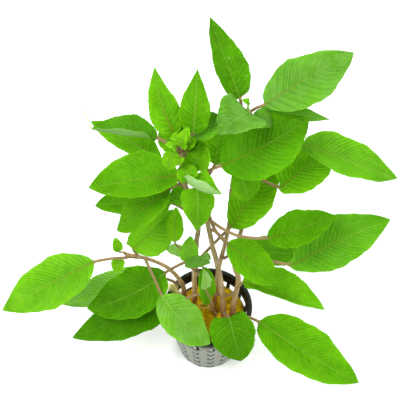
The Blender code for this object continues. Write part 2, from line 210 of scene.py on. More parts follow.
LEAVES = (
    on_back(1, 200, (15, 27, 211), (0, 64, 230), 20, 0.26, roll=-10, fold=(25, 10), sweep=-1, outline=TAPERED,
            blush=0.4),
    on_back(2, 197, (27, 30, 202), (73, 56, 212), 30, 0.38, fold=(-4, -6), outline=OVAL, veins=3.5, pale=0.17,
            blush=0.9),
    on_back(3, 188, (24, 31, 194), (62, 33, 186), 12, 0.56, fold=(4, 4), outline=TAPERED, pale=0.14),
    on_back(4, 199.5, (19.5, 19.5, 211), (4, 0.5, 218), 26, 0.3, fold=(8, 28), bend=(2, -2, -1),
            outline=HEART, pale=0.22, blush=0),
    on_back(5, 196, (21, 22, 200), (31, 22, 197), 12, 0.12, outline=ROUND, pale=0.1),
    on_back(6, 201, (18.5, 25, 205), (15.5, 25, 213), 6, 0.85, wave=0.8),
    on_back(26, 80, (18, 8, 96), (55, 9, 90), 22, 0.4, fold=(0, 14), arch=1),
    on_back(29, 145, (37, 13, 152), (68, 38, 158), 25, 0.75, fold=(10, -4), arch=1, blush=0.9),
    on_back(30, 160, (15, 14, 166), (21, 5, 154), 17, 0.6, arch=1, outline=ROUND),
    on_left(7, 199, (-17, 9, 205), (-27, 36, 226), 16, 0.6, sweep=-2.5, outline=POINTED, blush=0.8),
    on_left(8, 199, (-8, 10, 205), (-6, 33, 228), 16, 0.57, outline=POINTED),
    on_left(9, 195, (-10, 12, 199), (9, 22, 202), 16, 0.5, pale=0.1),
    on_left(10, 195, (-26, 13, 198), (-59, 17, 200), 22, 0.32, fold=(72, 15), arch=-1, curl=(-12, 0),
            pale=0.02),
    on_left(11, 163, (-25, 20, 168), (-63, 46, 167), 17, 0.55, outline=OVAL, blush=0.6),
    on_left(12, 199, (-12.5, 4, 206), (-10.5, 9, 212), 6, 0.85, wave=0.8),
    on_left(13, 200, (-16, 6, 204.5), (-19.5, 5, 208), 6.5, 0.85, wave=0.8),
    on_left(14, 196, (-17, 3.5, 200), (-20.5, -3, 193), 9, 0.75, wave=0.9),
    on_left(15, 182, (-17, 13, 186), (-25, 23, 192), 14, 0.6),
    on_left(16, 170, (-15, 8, 172), (-62, 3, 168), 30, 0.53, roll=12, fold=(32, 5), outline=OVAL, veins=2.1,
            blush=0.9),
    on_left(17, 168, (-20, 4, 166), (-49, -3, 136), 22, 0.55, fold=(5, 14), sweep=-1, blush=0.8),
    on_left(18, 178, (-13, -3.5, 186), (6, -11.3, 184), 21.5, 0.75, fold=(5, 80), arch=1, sweep=3,
            curl=(0, 12)),
    on_left(23, 144, (-11, 8, 150), (-21, 10, 149), 15, 0.5),
    on_left(31, 90, (12, 8, 122), (38, 34, 148), 24, 0.68, fold=(-6, -8), arch=1, veins=2.7, blush=0.8),
    on_left(32, 138, (-20, 16, 134), (-61, 10, 140), 24, 0.5, blush=0.5),
    on_left(33, 104, (-19, 7, 108), (-18, 21, 122), 10, 1.3, bend=(-2, -2, -2)),
    on_left(34, 88, (-25, 8, 72), (-70, -10, 62), 29, 0.33, roll=10, fold=(4, 14), arch=1, sweep=-4,
            veins=2.4),
    on_main(19, 174, (5, 4, 186), (50, 27, 196), 33, 0.35, roll=-13, fold=(5, 5), arch=1, sweep=2,
            outline=OVAL, veins=2.7, blush=0.9),
    on_main(20, 176, (-7.5, 4.5, 182.5), (-4, 13, 195), 16, 0.72, outline=ROUND, wave=0.8, blush=0),
    on_main(21, 164, (3, 14, 173), (6, 40, 176), 20, 0.8),
    on_main(22, 172, (-6.5, 1, 172), (-7, -6, 140), 18, 0.62, sweep=-1, bend=(0, 0, 0), outline=SPEAR,
            blush=0),
    on_main(24, 150, (46, -4, 100), (101, 19, 112), 29, 0.5, roll=-8, fold=(10, 2), sweep=-1,
            bend=(-10, 5, -18), outline=OVAL, veins=2.6, pale=0.05, blush=0.9),
    on_main(25, 139, (32, 1, 122), (68, 9, 132), 23, 0.48, fold=(8, 10), arch=1, sweep=1.5, bend=(0, -5, 1),
            veins=2.5, blush=0.9),
    on_main(27, 130, (10, 0, 118), (38, -14, 98), 23, 0.58, arch=1, sweep=1, blush=0.8),
    on_main(41, 60, (19, -1, 78), (67, -11, 62), 31, 0.72, fold=(5, 50), arch=1, bend=(0, -3, 1),
            outline=OVAL, blush=0.8),
    on_main(43, 46, (12, -15, 60), (19, -32, 38), 27, 0.3, roll=-20, lobe=3.4, outline=CORDATE, veins=2.8,
            blush=0),
    on_right(28, 162, (47, 25, 176), (100, 21, 150), 26, 0.6, fold=(18, 16), arch=0, pale=0.05, blush=0.6),
    on_right(44, 44, (29, -12, 50), (88, -41, 28), 33, 0.58, arch=1, sweep=2, blush=0.5),
    on_side(35, 87, (-64, 2, 95), (-116, -20, 78), 29, 0.72, roll=8, fold=(2, 6), arch=1, outline=OVAL,
            pale=0.05, blush=0.8),
    on_side(36, 54, (-26, 12, 58), (-86, -1, 50), 24, 1.6, pale=0.45),
    on_side(37, 84, (-43, 11, 92), (-20, 22, 118), 27, 1, roll=-30, fold=(60, 5), arch=1, outline=OVAL,
            veins=2.7, pale=0.05, blush=0.5),
    on_side(38, 88, (-51, 10.5, 91), (-53, 16.5, 97), 6, 0.7, bend=(0, 0, 0), wave=0.3),
    on_side(39, 82, (-50, 10.5, 84), (-53, 2.5, 81), 8, 0.7, wave=0.3),
    on_side(40, 79, (-27, -7, 72), (1, -28, 52), 24, 0.62, fold=(14, 5), arch=1, sweep=2.5, veins=2.4,
            pale=0.25, blush=0),
    on_main(42, 61, (-22, -5, 56), (-79, -22, 48), 24, 0.2, fold=(-8, 14), bend=(0, -4.5, 14), blush=0.6),
    on_shoot(45, 96, (-11, -3, 102), (-10, 6, 116), 11, 0.7, pale=0.08),
    on_shoot(46, 89, (-13.5, -8, 108), (1, -7, 109), 8, 0.1, pale=0.2),
    on_shoot(47, 98, (-14, 4, 99), (-24, 7, 100), 8, 1, pale=0.8),
    on_shoot(48, 50, (-2, -7, 80), (-3, -5, 99), 7, 1, bend=(2, -3, 0), pale=0.95, blush=0),
    on_shoot(49, 94, (-3, -1, 94), (-1, -5, 56), 11, 0.6, bend=(0, 0, 0)),
    on_shoot(50, 97, (-4, 2, 99), (1, 2, 97), 5, 0.7, pale=0.5),
)

# Crumpled young leaves round the top of the left stem, too small for solids of their own
YOUNG = (
    on_left(51, 198, (-14, 3, 203), (-11.5, 7, 213), 7.5, 0.85, wave=1.2),
    on_left(52, 198, (-16.5, 2, 203), (-22, 3, 206), 5.5, 0.8, wave=1),
    on_left(53, 197, (-11.5, 4, 201), (-6.5, 8, 204), 6.5, 0.7, wave=1),
    on_left(54, 196, (-14.5, 0.5, 199), (-15.5, -4, 198), 5, 0.75, wave=0.8),
    on_left(55, 194, (-14, 10, 200), (-14.5, 19, 209), 9, 0.45, wave=0.8),
    on_left(57, 184, (-13, 1, 187), (-8, 5, 181), 10, 0.6, wave=0.6),
    on_left(58, 182, (-10.1, -7.5, 189), (-13.8, 0.3, 192), 11, 0.62, outline=ROUND, wave=0.4),
    on_left(56, 190, (-11, 8, 193), (-5.5, 15.5, 196), 8, 0.45, wave=0.8),
)

# Deep, middle and bright green of each side of a leaf, the grey bloom and painted sheen of pale leaves, and
# the veins
UPPER_GREENS = ((0.02, 0.11, 0.0005), (0.075, 0.29, 0.001), (0.2, 0.56, 0.006))
UPPER_BLOOM_SHEEN = (0.4, 0.6, 0.24)
UPPER_VEINS = (0.42, 0.75, 0.04)
UNDER_GREENS = ((0.14, 0.32, 0.04), (0.27, 0.52, 0.12), (0.42, 0.68, 0.25))
UNDER_BLOOM_SHEEN = (0.45, 0.6, 0.34)
UNDER_VEINS = (0.5, 0.72, 0.3)

# A leaf's midrib, its petiole, small specks, and the light that comes through it
RIB_PALE = (0.25, 0.5, 0.06)
RIB_RED = (0.2, 0.1, 0.01)
STALK_DARK = (0.26, 0.2, 0.07)
STALK_TAN = (0.44, 0.3, 0.15)
SPECKS = (0.6, 0.75, 0.4)
GLOW = (0.34, 0.8, 0.006)
GLOW_SHARE = 0.25

# A brown scar on one leaf: mm across the blade, mm along it, and the leaf's place in the table
SCAR_PLACE = (0.9, 25, 42)
SCAR_BROWN = (0.3, 0.17, 0.02)

# Fine roots between the pot's ribs, thin runners on the wool, and a dry thread at a leaf's tip
ROOTS = (
    ((18, -5, 33), (22, -5.6, 34), (26.5, -6.3, 32.5), (29.3, -7.6, 29)),
    ((14, -11, 17), (19.5, -11, 14), (24.5, -11, 10), (30, -11.7, 6)),
)
RUNNERS = (
    ((5.5, -3.5, 40), (4, -2.6, 43.5), (-0.7, -0.4, 45), (-6.1, -0.8, 44.5), (-11, -2, 41)),
    ((4.5, -0.5, 40), (2.2, 1, 43), (-2.5, 2.4, 45), (-7.5, 1.2, 45), (-12, -0.5, 41)),
)
THREADS = (
    ((-59, 17, 200), (-60, 20.5, 202), (-62.7, 24.5, 203), (-65.3, 27.5, 203.5)),
)

# Loose fibres on the wool, and a pale tuft of it from the middle of its foot to that of its end
FIBRES = 900
FIBRE_RADIUS = 0.06
TUFT_FOOT = (-17, 9, 40)
TUFT_END = (-22.5, 13, 47.5)
TUFT_STRANDS = 110
TUFT_RADIUS = 0.26

# Studio: the floor in m, the sky, and each lamp's place and the height that it is aimed at, size and power
FLOOR_REACH = 3.0
SKY_STRENGTH = 0.45
LAMPS = (
    ("key", (-0.45, -0.35, 1.2), 0.1, 0.6, 13),
    ("fill", (0.8, -0.3, 0.9), 0.1, 0.8, 7),
    ("back", (0.1, 0.85, 1.1), 0.12, 0.5, 9),
)


class Signal:
    """A material's socket, whose sums and products are math nodes of that material."""

    def __init__(self, nodes, socket):
        self.nodes = nodes
        self.socket = socket

    def __add__(self, other):
        return self.nodes.math("ADD", self, other)

    def __sub__(self, other):
        return self.nodes.math("SUBTRACT", self, other)

    def __rsub__(self, other):
        return self.nodes.math("SUBTRACT", other, self)

    def __mul__(self, other):
        return self.nodes.math("MULTIPLY", self, other)

    def __truediv__(self, other):
        return self.nodes.math("DIVIDE", self, other)


class Nodes:
    """A small hand for laying out a material's nodes."""

    def __init__(self, name):
        self.material = bpy.data.materials.new(name)
        self.material.use_nodes = True
        self.tree = self.material.node_tree
        self.tree.nodes.clear()

    def put(self, value, socket):
        """Give a socket a link or a plain value, where a colour is three numbers."""
        if isinstance(value, Signal):
            self.tree.links.new(value.socket, socket)
        elif isinstance(value, tuple):
            socket.default_value = (*value, 1) if socket.type == "RGBA" else value
        elif value is not None:
            socket.default_value = value

    def add(self, kind, *inputs, **values):
        """A node with its first inputs in a row, its settings, and other inputs by their capital names."""
        node = self.tree.nodes.new(kind)
        for key, value in values.items():
            if key[0].isupper():
                self.put(value, node.inputs[key.replace("_", " ")])
            else:
                setattr(node, key, value)
        for socket, value in zip(node.inputs, inputs):
            self.put(value, socket)
        return node

    def value(self, output, kind, *inputs, **values):
        """One output of a new node."""
        return Signal(self, self.add(kind, *inputs, **values).outputs[output])

    def math(self, operation, a, b=None):
        return self.value(0, "ShaderNodeMath", a, b, operation=operation)

    def span(self, value, low, high, to_low=0.0, to_high=1.0):
        """A clamped linear step from low to high."""
        return self.value(0, "ShaderNodeMapRange", value, low, high, to_low, to_high)

    def mix(self, share, a, b):
        floats_and_vectors = [None] * 5
        return self.value(2, "ShaderNodeMix", share, *floats_and_vectors, a, b, data_type="RGBA")

    def coats(self, skin, *coats):
        """A skin with coats over it, each a share and a colour."""
        for share, coat in coats:
            skin = self.mix(share, skin, coat)
        return skin

    def ramp(self, value, low, middle, high):
        """Three colours in a row, at 0, 0.5 and 1."""
        return self.coats(low, (self.span(value, 0.0, 0.5), middle), (self.span(value, 0.5, 1.0), high))

    def vector(self, name):
        """A vector stored on the mesh."""
        return self.value("Vector", "ShaderNodeAttribute", attribute_name=name)

    def parts(self, vector):
        return [Signal(self, socket) for socket in self.add("ShaderNodeSeparateXYZ", vector).outputs]

    def place(self):
        return self.value("Object", "ShaderNodeTexCoord")

    def scaled(self, vector, scale):
        return self.value(0, "ShaderNodeMapping", Vector=vector, Scale=scale)

    def noise(self, vector, scale, detail=3.0, roughness=0.55):
        kind = "ShaderNodeTexNoise"
        return self.value("Fac", kind, Vector=vector, Scale=scale, Detail=detail, Roughness=roughness)

    def cells(self, vector, scale):
        """How far a point is from the edge of its cell in a net of cells."""
        kind = "ShaderNodeTexVoronoi"
        return self.value("Distance", kind, feature="DISTANCE_TO_EDGE", Vector=vector, Scale=scale)

    def bump(self, height, strength, distance, under=None):
        kind = "ShaderNodeBump"
        return self.value(0, kind, Strength=strength, Distance=distance, Height=height, Normal=under)

    def principled(self, skin, roughness, specular, normal=None, **more):
        more.update(Base_Color=skin, Roughness=roughness, Specular_IOR_Level=specular, Normal=normal)
        return self.value(0, "ShaderNodeBsdfPrincipled", **more)

    def lit_through(self, skin, glow, share):
        """A skin that lets a share of the light through."""
        through = self.value(0, "ShaderNodeBsdfTranslucent", Color=glow)
        return self.value(0, "ShaderNodeMixShader", share, skin, through)

    def finish(self, shader):
        self.add("ShaderNodeOutputMaterial", Surface=shader)
        return self.material


def vein_marks(nodes, phase, out, along, spread):
    """How far a spot is from its cell's middle, and shares for a side vein, the fine net and the midrib."""
    from_middle = nodes.math("ABSOLUTE", nodes.math("FRACT", phase) - 0.5)
    vein = nodes.span(from_middle, 0.41, 0.465) * nodes.span(out, 0.45, 1.0, 1.0, 0.3)
    vein = vein * nodes.span(along, 0.0, 0.3, 0.2, 1.0)
    net = nodes.span(nodes.cells(spread, 0.8), 0.0, 0.12, 1.0, 0.0)
    off_rib = nodes.math("ABSOLUTE", nodes.parts(spread)[0])
    rib = nodes.span(off_rib / nodes.span(along, 0.0, 1.0, 0.4, 0.1), 0.7, 1.3, 1.0, 0.0)
    return from_middle, vein, net, rib * nodes.span(along, 0.8, 1.0, 1.0, 0.2)


def leaf_tone(nodes, light, from_middle, out, spot):
    """Blade brightness: patchy, with painted shade by the veins and painted light on cell crowns and margin.
    """
    patches = (nodes.noise(spot, 60.0) - 0.5) * 0.7 + (nodes.noise(spot, 420.0) - 0.5) * 0.5
    # Painted shade in the grooves beside the side veins
    painted_valley_shade = nodes.span(from_middle, 0.22, 0.42) * (nodes.span(out, 0.45, 1.0, 1.0, 0.3) * -0.07)
    # Painted highlight on the crown of each bulging cell
    painted_crown_highlight = nodes.span(from_middle, 0.0, 0.25, 0.06, 0.0)
    # Painted light shining through: darker toward the midrib, brighter toward the margin
    margin = nodes.span(out, 0.93, 1.0, 0.0, 0.2) + nodes.span(out, 0.0, 1.0, -0.12, 0.12)
    return light + patches + painted_valley_shade + painted_crown_highlight + margin


def leaf_material(name, greens, bloom, vein_colour, vein_share, specular):
    """Leaf skin: quilted cells between pale veins, a fine net in them, a midrib and some light through."""
    nodes = Nodes(name)
    phase, out, along = nodes.parts(nodes.vector("leaf_place"))
    light, pale, blush = nodes.parts(nodes.vector("leaf_tint"))
    spread = nodes.vector("leaf_mm")
    spot = nodes.place()
    from_middle, vein, net, rib = vein_marks(nodes, phase, out, along, spread)
    # Dark leaves have fainter veins
    clear = nodes.span(light, 0.2, 0.6, 0.45, 1.0)
    from_scar = nodes.value("Value", "ShaderNodeVectorMath", spread, SCAR_PLACE, operation="DISTANCE")
    rib_colour = nodes.mix(blush * nodes.span(along, 0.2, 1.0, 1.0, 0.1), RIB_PALE, RIB_RED)
    stalk = nodes.span(along, 0.0, 0.03, 1.0, 0.0)
    stalk_colour = nodes.mix(nodes.noise(spot, 300.0), STALK_DARK, STALK_TAN)
    blade = nodes.coats(
        nodes.ramp(leaf_tone(nodes, light, from_middle, out, spot), *greens),
        # Grey bloom with a painted sheen, in mottled patches on pale leaves
        (pale * nodes.span(nodes.noise(spot, 130.0, 4.0), 0.38, 0.62, 0.35, 1.0), bloom),
        (net * 0.1, vein_colour),
        (vein * (clear * vein_share), vein_colour),
        (nodes.span(from_scar, 0.35, 0.8, 0.85, 0.0), SCAR_BROWN),
        (rib * (clear * 0.8), rib_colour),
        (stalk, stalk_colour),
        (nodes.span(nodes.noise(spot, 760.0, 1.0), 0.77, 0.8) * 0.5, SPECKS),
    )
    relief = net * -0.4 + nodes.noise(spot, 2400.0, 2.0) * 0.4 + vein * -0.8
    normal = nodes.bump(relief, 0.6, 0.0001)
    roughness = nodes.span(nodes.noise(spot, 120.0, 2.0), 0.3, 0.7, 0.34, 0.5)
    skin = nodes.principled(blade, roughness, specular, normal)
    return nodes.finish(nodes.lit_through(skin, nodes.mix(stalk, GLOW, stalk_colour), GLOW_SHARE))


def stem_material():
    """Stem skin: reddish foot, pinkish tan above it, olive brown higher up, with pale streaks."""
    nodes = Nodes("stem_skin_fine")
    up, _, knot = nodes.parts(nodes.vector("stem_place"))
    spot = nodes.place()
    streaks = nodes.noise(nodes.scaled(spot, (1, 1, 0.1)), 750.0, 4.0)
    blotches = nodes.noise(spot, 120.0)
    skin = nodes.coats(
        nodes.mix(streaks, (0.36, 0.22, 0.07), (0.6, 0.42, 0.2)),
        (nodes.span(up, 75.0, 120.0), nodes.mix(streaks, (0.13, 0.1, 0.018), (0.27, 0.22, 0.065))),
        (nodes.span(up, 150.0, 185.0), nodes.mix(streaks, (0.32, 0.2, 0.08), (0.58, 0.4, 0.24))),
        (nodes.span(up, 44.0, 62.0, 0.85, 0.0), (0.28, 0.075, 0.01)),
        (nodes.span(streaks, 0.56, 0.68) * 0.6, (0.72, 0.6, 0.46)),
        (nodes.span(blotches, 0.5, 0.75) * 0.3, (0.24, 0.2, 0.05)),
        (knot * 0.4, (0.24, 0.13, 0.05)),
    )
    normal = nodes.bump(streaks, 0.5, 0.0002)
    return nodes.finish(nodes.principled(skin, nodes.span(blotches, 0.3, 0.7, 0.4, 0.6), 0.4, normal))


def notch_shadow_share(nodes, spot):
    """1 in a small V where a rib crosses a ring of the pot, and 0 elsewhere: the mask of a painted shadow."""
    beside = nodes.parts(nodes.vector("pot_place"))[0]
    rows = (BAND_BOTTOM * MM - nodes.parts(spot)[2]) / (ROW_PITCH * MM)
    above = (0.5 - nodes.math("FRACT", rows + 0.5)) * ROW_PITCH
    low = nodes.span(above - beside * 1.5, -3.2, -2.4)
    high = nodes.span(above - beside * 0.5, 0.4, 1.0, 1.0, 0.0)
    return low * high * nodes.span(beside, 2.1, 2.7, 1.0, 0.0)


def pot_material(name, base, roughness_low, roughness_high, specular, notch_shadowed=False):
    """Moulded plastic with a faint flow grain and scuffs, and painted shadow in Vs at the rib crossings if
    asked.
    """
    nodes = Nodes(name)
    spot = nodes.place()
    scuffs = nodes.noise(nodes.scaled(spot, (1, 1, 3)), 160.0, 4.0)
    scuffed = tuple(1.35 * part + 0.004 for part in base)
    shade = nodes.mix(nodes.span(scuffs, 0.4, 0.75), base, scuffed)
    if notch_shadowed:
        # Painted shadow: near-black Vs where the ribs cross the rings
        shade = nodes.mix(notch_shadow_share(nodes, spot), shade, (0.012, 0.012, 0.009))
    normal = nodes.bump(nodes.noise(spot, 2200.0, 2.0), 0.25, 0.00008)
    roughness = nodes.span(scuffs, 0.35, 0.7, roughness_low, roughness_high)
    return nodes.finish(nodes.principled(shade, roughness, specular, normal))


def wool_material():
    """Rock wool: golden ochre on its top with painted shade in its hollows, grey down its sides, matted with
    fine fibres.
    """
    nodes = Nodes("wool_fine")
    spot = nodes.place()
    _, top, hollow_shade = nodes.parts(nodes.vector("pot_place"))
    tufts = nodes.noise(spot, 240.0, 5.0, 0.65)
    fibres = nodes.noise(nodes.scaled(spot, (1, 0.35, 1)), 1800.0, 4.0, 0.7)
    gold = nodes.coats(
        nodes.mix(nodes.span(tufts, 0.35, 0.65), (0.25, 0.13, 0.001), (0.68, 0.45, 0.003)),
        (nodes.span(fibres, 0.55, 0.8) * 0.6, (0.82, 0.63, 0.02)),
        # Painted shade in the hollows between lumps and in the crevice
        (hollow_shade, (0.09, 0.035, 0.001)),
    )
    grey = nodes.mix(fibres, (0.24, 0.26, 0.21), (0.42, 0.44, 0.38))
    # Painted shadow: the same dark Vs on the wool where the ribs cross the rings
    grey = nodes.mix(notch_shadow_share(nodes, spot), grey, (0.014, 0.014, 0.01))
    normal = nodes.bump(tufts, 0.7, 0.0008, nodes.bump(fibres, 0.7, 0.0003))
    return nodes.finish(nodes.principled(nodes.mix(top, grey, gold), 0.95, 0.04, normal))


def strand_material(name, low, high):
    """Thin strands: wool fibres, roots or runners."""
    nodes = Nodes(name)
    skin = nodes.mix(nodes.noise(nodes.place(), 500.0, 2.0), low, high)
    return nodes.finish(nodes.principled(skin, 0.6, 0.3))


def put_in_scene(name, data):
    thing = bpy.data.objects.new(name, data)
    bpy.context.scene.collection.objects.link(thing)
    return thing


def new_piece(name, points, faces, materials, kinds=None):
    """A smooth mesh from points in mm, riding on the plant's one body, with its material slot."""
    mesh = bpy.data.meshes.new(name)
    mesh.from_pydata([tuple(point) for point in np.asarray(points) * MM], [], faces)
    for material in materials:
        mesh.materials.append(material)
    if kinds is not None:
        mesh.polygons.foreach_set("material_index", kinds)
    mesh.shade_smooth()
    thing = put_in_scene(name, mesh)
    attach(thing, "root")
    return thing


def store(thing, name, values):
    """Keep a vector for each point of the mesh, for its material to read."""
    kept = thing.data.attributes.new(name, "FLOAT_VECTOR", "POINT")
    kept.data.foreach_set("vector", np.asarray(values, np.float32).ravel())


def unit(vectors):
    return vectors / np.linalg.norm(vectors, axis=-1, keepdims=True)


def smoothstep(x):
    x = np.clip(x, 0, 1)
    return x * x * (3 - 2 * x)


def stem_line(stem):
    """The stem's centre line as a smooth curve through its points, sampled finely by height."""
    given = np.array(stem.points, float)
    foot = given[0] + (given[0] - given[1]) * (given[0][2] - STEM_START) / (given[1][2] - given[0][2])
    given = np.vstack([foot, given])
    heights = given[:, 2]
    slopes = np.gradient(given[:, :2], heights, axis=0)
    levels = np.arange(heights[0], heights[-1] + 0.01, 0.5)
    spans = np.clip(np.searchsorted(heights, levels, side="right") - 1, 0, len(heights) - 2)
    step = (heights[spans + 1] - heights[spans])[:, None]
    part = (levels - heights[spans])[:, None] / step
    ease = part * part * (3 - 2 * part)
    start, end = given[spans, :2], given[spans + 1, :2]
    lift = step * (part * (1 - part) ** 2 * slopes[spans] - part**2 * (1 - part) * slopes[spans + 1])
    return np.column_stack([start + (end - start) * ease + lift, levels])


def stem_radius(stem, height):
    low, high = stem.points[0][2], stem.points[-1][2]
    return stem.foot_radius + (stem.tip_radius - stem.foot_radius) * (height - low) / (high - low)


def even_turns(sides):
    return np.linspace(0, 2 * math.pi, sides, endpoint=False)


def tube(line, radius, turns, lean):
    """Rings of points at given turns round a line, with a row of radii for each of its points."""
    along = unit(np.gradient(line, axis=0))
    side = unit(np.cross(along, lean))
    other = np.cross(side, along)
    rings = line[:, None] + (radius * np.cos(turns))[..., None] * side[:, None]
    return (rings + (radius * np.sin(turns))[..., None] * other[:, None]).reshape(-1, 3)


def tube_faces(rings, sides):
    """Faces of a tube, with both ends closed."""
    last = (rings - 1) * sides
    faces = [tuple(reversed(range(sides))), tuple(range(last, last + sides))]
    for low in range(0, last, sides):
        for i in range(sides):
            j = (i + 1) % sides
            faces.append((low + i, low + j, low + sides + j, low + sides + i))
    return faces


def build_stem(stem, material):
    """A stem that swells a little at each node, faintly four-sided between them, with a rounded end."""
    line = stem_line(stem)
    height = line[:, 2]
    knots = np.zeros(len(line))
    for leaf in LEAVES:
        if leaf.stem == stem.name:
            knots = np.maximum(knots, np.exp(-(((height - leaf.node) / KNOT_REACH) ** 2)))
    end = np.clip((height[-1] - height) / KNOT_REACH, 0, 1)
    radius = stem_radius(stem, height) * (1 + KNOT_SWELL * knots)
    radius = radius * np.sqrt(np.clip(1 - (1 - end) ** 2, 0.02, 1))
    turns = even_turns(STEM_SIDES)
    square = 1 + 0.05 * np.cos(4 * turns) * (1 - knots)[:, None]
    points = tube(line, radius[:, None] * square, turns, (0, 1, 0.2))
    faces = tube_faces(len(line), STEM_SIDES)
    thing = new_piece(stem.name + "_skin", points, faces, [material])
    up = np.repeat(height, STEM_SIDES)
    store(thing, "stem_place", np.column_stack([up, 0 * up, np.repeat(knots, STEM_SIDES)]))
    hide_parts(stem.name)


def leaf_axes(leaf):
    forward = unit(np.subtract(leaf.tip, leaf.base))
    level_side = unit(np.cross(forward, (0, 0, 1)))
    level_up = np.cross(level_side, forward)
    roll = math.radians(leaf.roll)
    side = math.cos(roll) * level_side + math.sin(roll) * level_up
    return side, np.cross(side, forward)


def midrib(leaf, share):
    """Points on the midrib, arched and swept between the blade's base and its tip."""
    side, up = leaf_axes(leaf)
    share = share[:, None]
    bow = 4 * share * (1 - share)
    straight = leaf.base + np.subtract(leaf.tip, leaf.base) * share
    return straight + bow * (leaf.arch * up + leaf.sweep * side)


def petiole_radius(leaf):
    return PETIOLE_RADIUS if leaf.width > LARGE_LEAF else SMALL_PETIOLE_RADIUS


def petiole(leaf, stem, share):
    """Points on the petiole's curve, from inside its stem to the blade."""
    line = stem_line(stem)
    at = int(np.argmin(np.abs(line[:, 2] - leaf.node)))
    centre = line[at]
    along = unit(line[min(at + 1, len(line) - 1)] - line[at - 1])
    toward = leaf.base - centre
    out = unit(toward - toward @ along * along)
    start = centre + out * (stem_radius(stem, leaf.node) + petiole_radius(leaf) + GAP)
    share = share[:, None]
    curve = start + (leaf.base - start) * share + 4 * share * (1 - share) * np.array(leaf.bend)
    inside = centre + (start - centre) * np.linspace(0.1, 0.85, 3)[:, None]
    return np.vstack([inside, curve])


def outline_width(leaf, share):
    """Half the blade's width at a share of its length, widest where the outline's two powers balance."""
    rise, fall = leaf.outline
    widest = rise / (rise + fall)
    return leaf.width / 2 * (share / widest) ** rise * ((1 - share) / (1 - widest)) ** fall


def half_width(leaf, share, length, number):
    """Half the blade's width, with small teeth on the margin and a slight unevenness."""
    width = outline_width(leaf, share)
    teeth = (share * length / TOOTH_PITCH + 0.37 * number) % 1.0 - 0.5
    depth = TOOTH_DEPTH * min(1.0, leaf.width / 20) * smoothstep((share - 0.12) / 0.1)
    uneven = 1 + 0.025 * np.sin(share * 17 + number) + 0.015 * np.sin(share * 41 + 2 * number)
    return np.maximum(width * uneven + depth * teeth * np.sqrt(2 * width / leaf.width), 0.0)


class Spine:
    """A leaf's middle line from inside its stem to its tip, with its forward, right and upward ways."""

    def __init__(self, leaf, stem):
        stalk = petiole(leaf, stem, np.linspace(0, 1, STALK_POINTS)[:-1])
        share = np.linspace(0, 1, BLADE_POINTS)
        self.stalk = len(stalk)
        self.place = np.concatenate([np.arange(-self.stalk, 0), share])
        self.line = np.vstack([stalk, midrib(leaf, share)])
        self.ease()
        self.along = unit(np.gradient(self.line, axis=0))
        axis = leaf_axes(leaf)[0]
        self.side = unit(axis - (self.along @ axis)[:, None] * self.along)
        self.up = np.cross(self.side, self.along)

    def ease(self, reach=6, rounds=12):
        """Round off the bend where the petiole meets the blade."""
        weight = np.zeros(len(self.line) - 2)
        weight[max(self.stalk - 1 - reach, 2):self.stalk - 1 + reach] = 1
        for _ in range(rounds):
            between = (self.line[:-2] + 2 * self.line[1:-1] + self.line[2:]) / 4
            self.line[1:-1] += (between - self.line[1:-1]) * weight[:, None]

    def at(self, place, values):
        """A vector of the spine read at every place."""
        return np.stack([np.interp(place, self.place, values[:, i]) for i in range(3)], axis=-1)


class BladeHalf:
    """One half of a blade: for every row and step across it, how it is placed, tilted and quilted.

    The rows follow the side veins, so they slant toward the tip as they go out. Rows below 0 are
    the petiole's.
    """

    def __init__(self, leaf, way, rows, across, length, number):
        index = int(way > 0)
        row = np.maximum(rows, 0)[:, None]
        full = outline_width(leaf, row) / length + 0.001
        reach = np.minimum(full * (1 - np.exp(-2 * row / full)), 0.75 * (1 - row))
        share = row + reach * (0.75 * across + 0.35 * across**2.5)
        width = np.where(rows[:, None] > 0, half_width(leaf, share, length, number + 3 * index), 0)
        opening = np.minimum(1, share / OPENING)
        fold = math.radians(leaf.fold[index]) * (0.75 + 0.5 * across)
        curl = math.radians(leaf.curl[index]) * smoothstep((across - 0.35) / 0.65)
        tilt = (fold + curl) * opening
        # The way up out of the blade
        self.lean, self.rise = -way * np.sin(tilt), np.cos(tilt)
        middle = (tilt[:, 1:] + tilt[:, :-1]) / 2
        moves = np.cumsum(np.diff(across) * np.stack([way * np.cos(middle), np.sin(middle)]), axis=2)
        self.x, self.z = width * np.pad(moves, ((0, 0), (0, 0), (1, 0)))
        count = max(5, round(length / leaf.veins))
        self.step = across + 0 * row
        self.phase = row * count + 0.5 * index + 0 * across
        self.z += self.quilt(leaf, across, width, share, length)
        ripple = leaf.wave * np.sin(share * 14 + 2.1 * number + index * 1.7) * across**2
        self.z += ripple * smoothstep(width / 5)
        drawn = np.minimum(1, np.sqrt(share / 0.05)) * (1 - share) ** 4
        self.back = leaf.lobe * 1.25 * drawn * np.sqrt(across)
        self.place = np.where(rows[:, None] < 0, rows[:, None], share)

    def quilt(self, leaf, across, width, share, length):
        """Cells that bulge between the veins, with small dimples, flatter at the midrib and margin."""
        from_middle = 2 * np.abs(self.phase % 1.0 - 0.5)
        depth = QUILT_DEPTH * min(1.0, leaf.width / 24) * min(1.2, leaf.veins / 2.6)
        window = smoothstep(across / 0.14) * (1 - 0.6 * smoothstep((across - 0.7) / 0.3))
        dimples = 0.07 * np.cos(self.x * 2.9) * np.cos(share * length * 2.3 + self.x)
        groove = -RIB_GROOVE * np.exp(-((self.x / RIB_GROOVE_WIDTH) ** 2))
        bulge = dimples - depth * from_middle**2
        return bulge * window * smoothstep(width / 4) + groove * smoothstep(width / 2)


